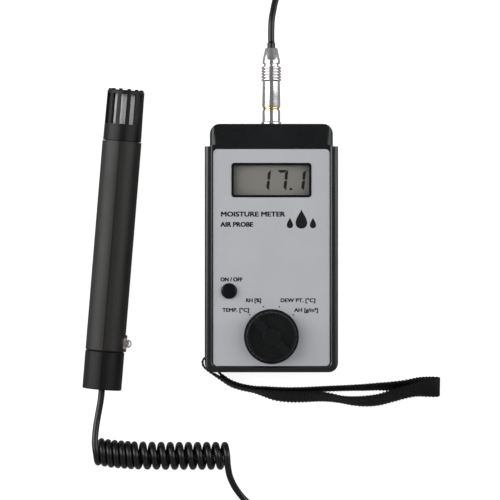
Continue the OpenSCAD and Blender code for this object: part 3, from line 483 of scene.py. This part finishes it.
STRAP_W = 12.0 * MM
STRAP_T = 1.1 * MM
RIB_PITCH = 2.2 * MM
RIB_SIZE = (1.25 * MM, 1.55 * MM)
BAND_STEP = 0.9 * MM
LINE_STEP = 2 * MM
SELVEDGE = 0.15 * MM
STRAP_ROUTE = [(-36.3, -71.9, 7.8, 0), (-32.8, -75.5, 7.6, 1), (-29.4, -78.9, 7.3, 9),
               (-24.4, -82.4, 6.9, 11), (-18.2, -84.5, 6.6, 10), (-10.5, -85.7, 6.4, 8),
               (-4, -86.2, 6.3, 10), (3, -86.8, 6.2, 12), (12, -87.1, 6.2, 13),
               (21.4, -87, 6.1, 14), (32.7, -86.5, 6.1, 15), (46.5, -86, 6, 16),
               (57.8, -85.6, 5.9, 19), (66.3, -85.1, 5.8, 22), (74.8, -85, 5.4, 29),
               (83.3, -85, 4.6, 44), (90, -85, 3.1, 66), (97, -85.1, 1.4, 84),
               (101.6, -85.2, 0.8, 90), (103.3, -85.4, 2.2, 86), (101.6, -86, 3.9, 72),
               (97, -86.6, 5, 55), (90, -87, 5.6, 45), (83.3, -88.5, 5.4, 40),
               (74.8, -90.8, 5.4, 40), (66.3, -93.2, 5.5, 37), (57.8, -94.1, 5.5, 33),
               (50, -93.9, 5.6, 27), (43, -93, 5.8, 22), (36, -91.8, 5.8, 26),
               (29, -91.2, 5.7, 31), (19, -91.4, 5.7, 34), (10, -91.3, 5.7, 34),
               (2.5, -90.6, 5.8, 30), (-4, -89.2, 6.1, 20), (-10.5, -87.8, 6.4, 11),
               (-18.2, -86.2, 6.7, 10), (-24.4, -84.1, 6.9, 11), (-29.4, -81.1, 7.2, 10),
               (-33.7, -78.3, 7.5, 8), (-37.6, -76, 7.7, 3), (-40.1, -74.1, 7.8, 2),
               (-41.8, -71.9, 7.8, 1), (-42.1, -69.6, 7.8, 0), (-41.5, -68.2, 7.8, 0),
               (-40.1, -68, 7.8, 0)]


def strap_frames(step):
    """Points along the closed band with its heading, the way across it and the way out of it."""
    route = catmull([(x * MM, y * MM, z * MM, lean) for x, y, z, lean in STRAP_ROUTE], 12, True)
    route = evenly(np.vstack([route, route[:1]]), step)[:-1]
    path = route[:, :3]
    ahead = headings(path, closed=True)
    lean = np.radians(route[:, 3])
    across = np.stack([np.zeros(len(lean)), np.sin(lean), np.cos(lean)], axis=1)
    across -= ahead * np.sum(across * ahead, axis=1)[:, None]
    across /= np.linalg.norm(across, axis=1)[:, None]
    return path, ahead, across, np.cross(ahead, across)


def rib_tree(material):
    """Geometry nodes that lay a rounded rib across the band at each point."""
    tree = bpy.data.node_groups.new("webbing_ribs", "GeometryNodeTree")
    face = tree.interface
    face.new_socket("Geometry", in_out="INPUT", socket_type="NodeSocketGeometry")
    sizes = {name: face.new_socket(name, in_out="INPUT", socket_type="NodeSocketFloat")
             for name in ("Rib width", "Rib length", "Rib thickness")}
    face.new_socket("Geometry", in_out="OUTPUT", socket_type="NodeSocketGeometry")
    way_in = tree.nodes.new("NodeGroupInput")
    way_out = tree.nodes.new("NodeGroupOutput")
    rib = tree.nodes.new("GeometryNodeMeshCylinder")
    rib.inputs["Vertices"].default_value = 10
    rib.inputs["Radius"].default_value = 0.5
    rib.inputs["Depth"].default_value = 1
    scale = tree.nodes.new("ShaderNodeCombineXYZ")
    place = tree.nodes.new("GeometryNodeInstanceOnPoints")
    turn = tree.nodes.new("GeometryNodeInputNamedAttribute")
    turn.data_type = "FLOAT_VECTOR"
    turn.inputs["Name"].default_value = "turn"
    solid = tree.nodes.new("GeometryNodeRealizeInstances")
    finish = tree.nodes.new("GeometryNodeSetMaterial")
    finish.inputs["Material"].default_value = material
    links = tree.links
    links.new(way_in.outputs["Geometry"], place.inputs["Points"])
    links.new(rib.outputs["Mesh"], place.inputs["Instance"])
    links.new(turn.outputs["Attribute"], place.inputs["Rotation"])
    links.new(way_in.outputs["Rib length"], scale.inputs[0])
    links.new(way_in.outputs["Rib thickness"], scale.inputs[1])
    links.new(way_in.outputs["Rib width"], scale.inputs[2])
    links.new(scale.outputs[0], place.inputs["Scale"])
    links.new(place.outputs["Instances"], solid.inputs["Geometry"])
    links.new(solid.outputs["Geometry"], finish.inputs["Geometry"])
    links.new(finish.outputs["Geometry"], way_out.inputs["Geometry"])
    return tree, {name: socket.identifier for name, socket in sizes.items()}


def grown(name, seed_mesh, tree, values):
    """Plain mesh object that a geometry-nodes tree makes from a seed mesh."""
    seed = bpy.data.objects.new(name + "_seed", seed_mesh)
    bpy.context.collection.objects.link(seed)
    modifier = seed.modifiers.new(name, "NODES")
    modifier.node_group = tree
    for identifier, value in values.items():
        modifier[identifier] = value
    graph = bpy.context.evaluated_depsgraph_get()
    mesh = bpy.data.meshes.new_from_object(seed.evaluated_get(graph), depsgraph=graph)
    bpy.data.objects.remove(seed)
    piece = bpy.data.objects.new(name, mesh)
    bpy.context.collection.objects.link(piece)
    return piece


def strap_band(material):
    """The flat band under the ribs, with rounded selvedges."""
    path, _, across, out = strap_frames(BAND_STEP)
    half, thick = STRAP_W / 2 - SELVEDGE, STRAP_T / 2
    edge = thick * 0.9
    section = [(-half, -edge * 0.4), (-half + edge, -thick), (-half * 0.4, -thick), (half * 0.4, -thick),
               (half - edge, -thick), (half, -edge * 0.4), (half, edge * 0.4), (half - edge, thick),
               (half * 0.4, thick), (-half * 0.4, thick), (-half + edge, thick), (-half, edge * 0.4)]
    rings = [[p + a * u + o * v for u, v in section] for p, a, o in zip(path, across, out)]
    count, sides = len(rings), len(section)
    faces = [(i * sides + k, i * sides + (k + 1) % sides, (i + 1) % count * sides + (k + 1) % sides,
              (i + 1) % count * sides + k) for i in range(count) for k in range(sides)]
    return mesh_object("strap_band", [v for ring in rings for v in ring], faces, material)


def make_strap():
    """The woven strap: a flat band with a rib across it at every pitch."""
    material = finish_of("wrist_strap")
    band = strap_band(material)
    path, ahead, across, _ = strap_frames(RIB_PITCH)
    seeds = bpy.data.meshes.new("rib_places")
    seeds.from_pydata([tuple(p) for p in path], [], [])
    turns = seeds.attributes.new("turn", "FLOAT_VECTOR", "POINT")
    for i, (a, c) in enumerate(zip(ahead, across)):
        turns.data[i].vector = Matrix((a, np.cross(c, a), c)).transposed().to_euler()
    tree, sockets = rib_tree(material)
    ribs = grown("strap_ribs", seeds, tree, {
        sockets["Rib width"]: STRAP_W, sockets["Rib length"]: RIB_SIZE[0],
        sockets["Rib thickness"]: RIB_SIZE[1]})
    strap = joined("strap", [band, ribs])
    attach(strap, "root")
    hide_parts("wrist_strap")
    line = [tuple(p) for p in strap_frames(LINE_STEP)[0]]


# ---------------------------------------------------------------- eased CAD parts

HARD_ANGLE = 40
EDGE_ANGLE = 35
EDGE_SEGMENTS = 2
SKIRT_R = 15.3 * MM
# Width of the easing on each part's edges, in millimetres; 0 only smooths the part.
EASED = {"holster": 0.45, "front_shell": 0.3, "rear_shell": 0.2, "face_plate": 0.12,
         "display_bezel": 0.15, "button_cap": 0.3, "selector_knob": 0.35, "knob_cap": 0.2,
         "battery_cover": 0.2, "sensor_cage": 0.3, "grip_shell_left": 0.3,
         "grip_shell_right": 0.3, "end_cap": 0.2, "hanger_stud": 0.12, "case_screws": 0.1,
         "cable_collar": 0.2, "sensor_filter": 0.2, "hanger_ring": 0}


def smooth_by_angle(mesh):
    """Smooth shading with hard lines only where faces meet at a sharp angle."""
    form = bmesh.new()
    form.from_mesh(mesh)
    for face in form.faces:
        face.smooth = True
    for edge in form.edges:
        edge.smooth = len(edge.link_faces) == 2 and edge.calc_face_angle(0) < math.radians(HARD_ANGLE)
    form.to_mesh(mesh)
    form.free()


def weighted(mesh, name):
    """Object with normals that follow the large faces, so flats stay flat beside eased edges."""
    draft = bpy.data.objects.new(name + "_draft", mesh)
    bpy.context.collection.objects.link(draft)
    modifier = draft.modifiers.new("normals", "WEIGHTED_NORMAL")
    modifier.keep_sharp = True
    modifier.weight = 80
    graph = bpy.context.evaluated_depsgraph_get()
    finished = bpy.data.meshes.new_from_object(draft.evaluated_get(graph), depsgraph=graph)
    bpy.data.objects.remove(draft)
    piece = bpy.data.objects.new(name, finished)
    bpy.context.collection.objects.link(piece)
    return piece


def shade_the_skirt(piece):
    """The knob's tapered skirt gets a matt copy of the knob's black with a darker colour, as painted
    shade; the disc inside it is polished.
    """
    # Painted shade: the skirt's colour is darker than the knob's own black, standing in for the shade it
    # sits in.
    piece.data.materials.append(moulded("skirt_painted_shade", (0.0005, 0.0005, 0.0005),
                                        (0.001, 0.001, 0.001), (0.6, 0.7), specular=0.08))
    low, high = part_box("selector_knob")
    middle = Vector(((low[0] + high[0]) / 2, (low[1] + high[1]) / 2))
    for face in piece.data.polygons:
        if (face.center.xy - middle).length > SKIRT_R and 0.02 < face.normal.z < 0.9:
            face.material_index = 1


def eased(node, width):
    """Copy of a CAD part, merged, with its sharp edges eased as tools and moulds leave them."""
    form = bmesh.new()
    form.from_mesh(frame["nodes"][node].data)
    bmesh.ops.remove_doubles(form, verts=form.verts, dist=0.002 * MM)
    bmesh.ops.dissolve_limit(form, angle_limit=math.radians(0.5), verts=form.verts,
                             edges=form.edges)
    if width:
        corners = [e for e in form.edges
                   if len(e.link_faces) == 2 and e.calc_face_angle(0) > math.radians(EDGE_ANGLE)]
        bmesh.ops.bevel(form, geom=corners, offset=width, offset_type="OFFSET",
                        segments=EDGE_SEGMENTS, profile=0.5, affect="EDGES", clamp_overlap=True)
    mesh = bpy.data.meshes.new(node + "_eased")
    form.to_mesh(mesh)
    form.free()
    smooth_by_angle(mesh)
    mesh.materials.append(finish_of(node))
    piece = weighted(mesh, node + "_eased")
    if node == "selector_knob":
        shade_the_skirt(piece)
    return stand_in(piece, node)


# ---------------------------------------------------------------- print on the face

PRINT_T = 0.04 * MM
CAPITAL_HEIGHT = 0.69
DROP_STEPS = 28
DROP_SIZE = (8.2 * MM, 11.6 * MM)
SIDE_DROP_SIZE = (4.4 * MM, 6.4 * MM)
SIDE_DROP_ASIDE = 7 * MM
SIDE_DROP_BELOW = 2.4 * MM
EMBLEM_IN = 53.5 * MM
EMBLEM_Y = 17.6 * MM
WORD_MARGIN = 4.5 * MM
FACE_WORDS = (("title", "MOISTURE METER", 2.8, 19.2, 1.2),
              ("subtitle", "AIR PROBE", 2.7, 13.0, 1.05))
DIAL_WORDS = (("TEMP. [\u00b0C]", -13.4, 15.0, "RIGHT", 1.1),
              ("RH [%]", -6.1, 20.9, "RIGHT", 1.0),
              ("DEW PT. [\u00b0C]", 5.4, 20.9, "LEFT", 1.13),
              ("AH [g/m\u00b3]", 13.9, 15.0, "LEFT", 1.1))
DOT_ANGLES = (-45, -15, 15, 45)
DOT_REACH = 18.7 * MM
DOT_R = 0.42 * MM


def flat_text(name, words, height, place, material, squeeze, bold, anchor="LEFT"):
    """Printed words as thin closed letters: each is struck four times, a little apart, for weight."""
    curve = bpy.data.curves.new(name, "FONT")
    curve.body = words
    curve.size = height / CAPITAL_HEIGHT
    curve.extrude = PRINT_T / 2
    curve.align_x = anchor
    curve.resolution_u = 3
    draft = bpy.data.objects.new(name, curve)
    bpy.context.collection.objects.link(draft)
    graph = bpy.context.evaluated_depsgraph_get()
    strikes = []
    for count, (along, up) in enumerate(((-1, -0.6), (1, -0.6), (-1, 0.6), (1, 0.6))):
        mesh = bpy.data.meshes.new_from_object(draft.evaluated_get(graph), depsgraph=graph)
        shift = Vector((along * bold, up * bold, count * 0.002 * MM))
        mesh.transform(Matrix.Translation(Vector(place) + shift)
                       @ Matrix.Diagonal((squeeze, 1, 1, 1)))
        mesh.materials.clear()
        mesh.materials.append(material)
        piece = bpy.data.objects.new(name, mesh)
        bpy.context.collection.objects.link(piece)
        strikes.append(piece)
    bpy.data.objects.remove(draft)
    return joined(name, strikes)


def flat_shape(name, outline, place, material):
    """Printed or etched shape: a thin closed slab with the given outline, seen from above."""
    count = len(outline)
    area = sum(a[0] * b[1] - b[0] * a[1] for a, b in zip(outline, outline[1:] + outline[:1]))
    if area < 0:
        outline = outline[::-1]
    x, y, z = place
    verts = [(x + u, y + v, level) for level in (z, z + PRINT_T) for u, v in outline]
    faces = [tuple(reversed(range(count))), tuple(range(count, 2 * count))]
    faces += [(i, (i + 1) % count, (i + 1) % count + count, i + count) for i in range(count)]
    return mesh_object(name, verts, faces, material, smooth=False)


def drop_outline(width, height):
    """Water drop: a round belly that narrows to a point at the top."""
    points = []
    for i in range(DROP_STEPS):
        t = 2 * math.pi * i / DROP_STEPS
        points.append((0.5 * width * math.sin(t) * math.sin(t / 2) ** 1.5 * 1.22,
                       0.5 * height * math.cos(t)))
    return points


def ink():
    """Black printing ink."""
    return moulded("print_black", (0.003, 0.003, 0.004), (0.008, 0.008, 0.009), (0.45, 0.6),
                   specular=0.3)


def make_face_print():
    """Words, emblem and dial dots on the silver plate, as one thin piece."""
    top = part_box("face_plate")[1][2]
    knob_low, knob_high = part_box("selector_knob")
    knob_x = (knob_low[0] + knob_high[0]) / 2
    knob_y = (knob_low[1] + knob_high[1]) / 2
    button_y = (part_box("button_cap")[0][1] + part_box("button_cap")[1][1]) / 2
    black = ink()
    z = top + 0.015 * MM
    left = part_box("face_plate")[0][0]
    pieces = [flat_text(name, words, height * MM, (left + WORD_MARGIN, y * MM, z), black,
                        squeeze, 0.2 * MM)
              for name, words, height, y, squeeze in FACE_WORDS]
    pieces.append(flat_text("switch_word", "ON / OFF", 2.3 * MM,
                            (left + 4.4 * MM, button_y + 5.9 * MM, z), black, 0.95, 0.17 * MM))
    for words, x, y, anchor, squeeze in DIAL_WORDS:
        pieces.append(flat_text("dial_word", words, 2.2 * MM,
                                (knob_x + x * MM, knob_y + y * MM, z), black,
                                squeeze, 0.15 * MM, anchor))
    emblem = (left + EMBLEM_IN, EMBLEM_Y, z)
    pieces.append(flat_shape("emblem_drop", drop_outline(*DROP_SIZE), emblem, black))
    for side in (-1, 1):
        pieces.append(flat_shape("emblem_side_drop", drop_outline(*SIDE_DROP_SIZE),
                                 (emblem[0] + side * SIDE_DROP_ASIDE, emblem[1] - SIDE_DROP_BELOW, z),
                                 black))
    for angle in DOT_ANGLES:
        turn = math.radians(angle)
        spot = (knob_x + DOT_REACH * math.sin(turn), knob_y + DOT_REACH * math.cos(turn), z)
        dot = [(DOT_R * math.cos(k * math.pi / 8), DOT_R * math.sin(k * math.pi / 8))
               for k in range(16)]
        pieces.append(flat_shape("dial_dot", dot, spot, black))
    printing = joined("face_print", pieces)
    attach(printing, "root")


# ---------------------------------------------------------------- display digits

SEGMENTS = {
    "upper": [(0.1, 6.2), (0.1, 0.4), (-0.8, 0.1), (-1.7, 0.9), (-1.7, 4.5)],
    "lower": [(0.1, -6.2), (0.1, -0.4), (-0.8, -0.1), (-1.7, -0.9), (-1.7, -4.5)],
    "top": [(-6.1, 6.2), (-0.35, 6.2), (-1.95, 4.6), (-4.6, 4.6), (-5.7, 5.3)],
}
DIGIT_TOP = 6.1
DIGIT_SLANT = math.tan(math.radians(6))
DIGITS = ((-0.3, ("upper", "lower")), (10.2, ("top", "upper", "lower")),
          (21.0, ("upper", "lower")))
POINT = ((11.1, -6.1), (12.6, -6.1), (12.6, -4.7), (11.1, -4.7))


def make_digits():
    """The lit segments behind the pane: each digit is built from its right-hand edge."""
    low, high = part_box("display_glass")
    middle = ((low[0] + high[0]) / 2, (low[1] + high[1]) / 2)
    z = high[2] + 0.01 * MM
    black = moulded("segment_black", (0.008, 0.008, 0.008), (0.014, 0.014, 0.013), (0.4, 0.5))
    pieces = []
    for right, parts in DIGITS:
        for part in parts:
            outline = [((right + x + DIGIT_SLANT * (y - DIGIT_TOP)) * MM, y * MM)
                       for x, y in SEGMENTS[part]]
            pieces.append(flat_shape("segment", outline, (*middle, z), black))
    pieces.append(flat_shape("point", [(x * MM - DIGIT_SLANT * 6 * MM + 0.6 * MM, y * MM)
                                       for x, y in POINT], (*middle, z), black))
    digits = joined("display_digits", pieces)
    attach(digits, "root")


# ---------------------------------------------------------------- turned connector

TURNED_SIDES = 96
CORNER_STEPS = 3
SOCKET_BORE_R = 3.6 * MM
RING_BORE_R = 3.58 * MM
SLEEVE_BORE_R = 4.45 * MM
NUT_BORE_R = 3.15 * MM
CORD_HOLE_R = 2.5 * MM
NUT_TIP_R = 3.75 * MM
RIDGES = 5
RIDGE_PITCH = 1.8 * MM
RIDGES_LENGTH = 8.7 * MM


def turned(name, node, profile):
    """Piece turned about the socket's axis from (along, radius) points, closed end to end."""
    sides = TURNED_SIDES
    low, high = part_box("socket_shell")
    x, z = (low[0] + high[0]) / 2, (low[2] + high[2]) / 2
    rings = []
    for along, radius in profile:
        rings.append([(x + radius * math.cos(2 * math.pi * k / sides), along,
                       z + radius * math.sin(2 * math.pi * k / sides)) for k in range(sides)])
    count = len(rings)
    faces = []
    for i in range(count):
        j = (i + 1) % count
        for k in range(sides):
            m = (k + 1) % sides
            faces.append((i * sides + k, i * sides + m, j * sides + m, j * sides + k))
    piece = mesh_object(name, [v for ring in rings for v in ring], faces, finish_of(node))
    form = bmesh.new()
    form.from_mesh(piece.data)
    bmesh.ops.recalc_face_normals(form, faces=form.faces)
    form.to_mesh(piece.data)
    form.free()
    smooth_by_angle(piece.data)
    return stand_in(piece, node)


def rounded_line(points, radius):
    """The same open line of (along, radius) points with its inner corners rounded."""
    out = [points[0]]
    for before, corner, after in zip(points, points[1:], points[2:]):
        b, c, a = (Vector(p) for p in (before, corner, after))
        r = min(radius, 0.45 * (b - c).length, 0.45 * (a - c).length)
        start, end = c + (b - c).normalized() * r, c + (a - c).normalized() * r
        for i in range(CORNER_STEPS + 1):
            t = i / CORNER_STEPS
            out.append(tuple(start * (1 - t) ** 2 + c * 2 * t * (1 - t) + end * t * t))
    return out + [points[-1]]


def outer_radius(node):
    """Half the width of a CAD node."""
    low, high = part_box(node)
    return (high[0] - low[0]) / 2


def make_socket():
    """Chrome barrel with its flange against the case, and the gold ring past its end."""
    shell_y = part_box("plug_pins")[0][1] - 1.5 * MM
    flange_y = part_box("front_shell")[1][1]
    ring_y0, ring_y1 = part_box("contact_ring")[0][1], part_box("contact_ring")[1][1]
    flange_r = outer_radius("socket_shell")
    barrel_r = flange_r - 0.55 * MM
    neck_r = barrel_r - 0.95 * MM
    turned("socket_barrel", "socket_shell", rounded_line([
        (shell_y, SOCKET_BORE_R), (shell_y, neck_r), (flange_y, neck_r), (flange_y, flange_r),
        (flange_y + 1.2 * MM, flange_r), (flange_y + 1.7 * MM, barrel_r), (ring_y0, barrel_r),
        (ring_y0, SOCKET_BORE_R)], 0.25 * MM))
    ring_r = outer_radius("contact_ring")
    turned("gold_ring", "contact_ring", rounded_line([
        (ring_y0, RING_BORE_R), (ring_y0, ring_r), (ring_y0 + 0.75 * MM, ring_r),
        (ring_y0 + 0.95 * MM, ring_r - 0.25 * MM), (ring_y0 + 1.15 * MM, ring_r),
        (ring_y1, ring_r), (ring_y1, RING_BORE_R)], 0.2 * MM))


def make_plug():
    """Ridged release sleeve, and the nut that tapers to the cord."""
    y0, y1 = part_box("release_sleeve")[0][1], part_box("release_sleeve")[1][1]
    ridge_r = outer_radius("release_sleeve")
    sleeve_r = ridge_r - 0.5 * MM
    groove_r = sleeve_r - 0.35 * MM
    line = [(y0, SLEEVE_BORE_R), (y0, sleeve_r)]
    for i in range(RIDGES):
        start = y1 - RIDGES_LENGTH + i * RIDGE_PITCH
        line += [(start - 0.35 * MM, groove_r), (start, ridge_r - 0.1 * MM),
                 (start + 0.45 * MM, ridge_r), (start + 0.9 * MM, ridge_r - 0.1 * MM),
                 (start + 1.25 * MM, groove_r)]
    line += [(y1, sleeve_r - 0.1 * MM), (y1, SLEEVE_BORE_R)]
    turned("sleeve_body", "release_sleeve", rounded_line(line, 0.22 * MM))
    y0, y1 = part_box("collet_nut")[0][1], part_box("collet_nut")[1][1]
    nut_r = outer_radius("collet_nut")
    turned("collet_cone", "collet_nut", rounded_line([
        (y0, NUT_BORE_R), (y0, nut_r), (y0 + 2.1 * MM, nut_r), (y1, NUT_TIP_R), (y1, CORD_HOLE_R),
        (y0 + 6.4 * MM, CORD_HOLE_R), (y0 + 6.4 * MM, NUT_BORE_R)], 0.3 * MM))


make_cord()
make_strap()
for node_name, ease in EASED.items():
    eased(node_name, ease * MM)
make_socket()
make_plug()
make_face_print()
make_digits()
dress_cad_nodes()
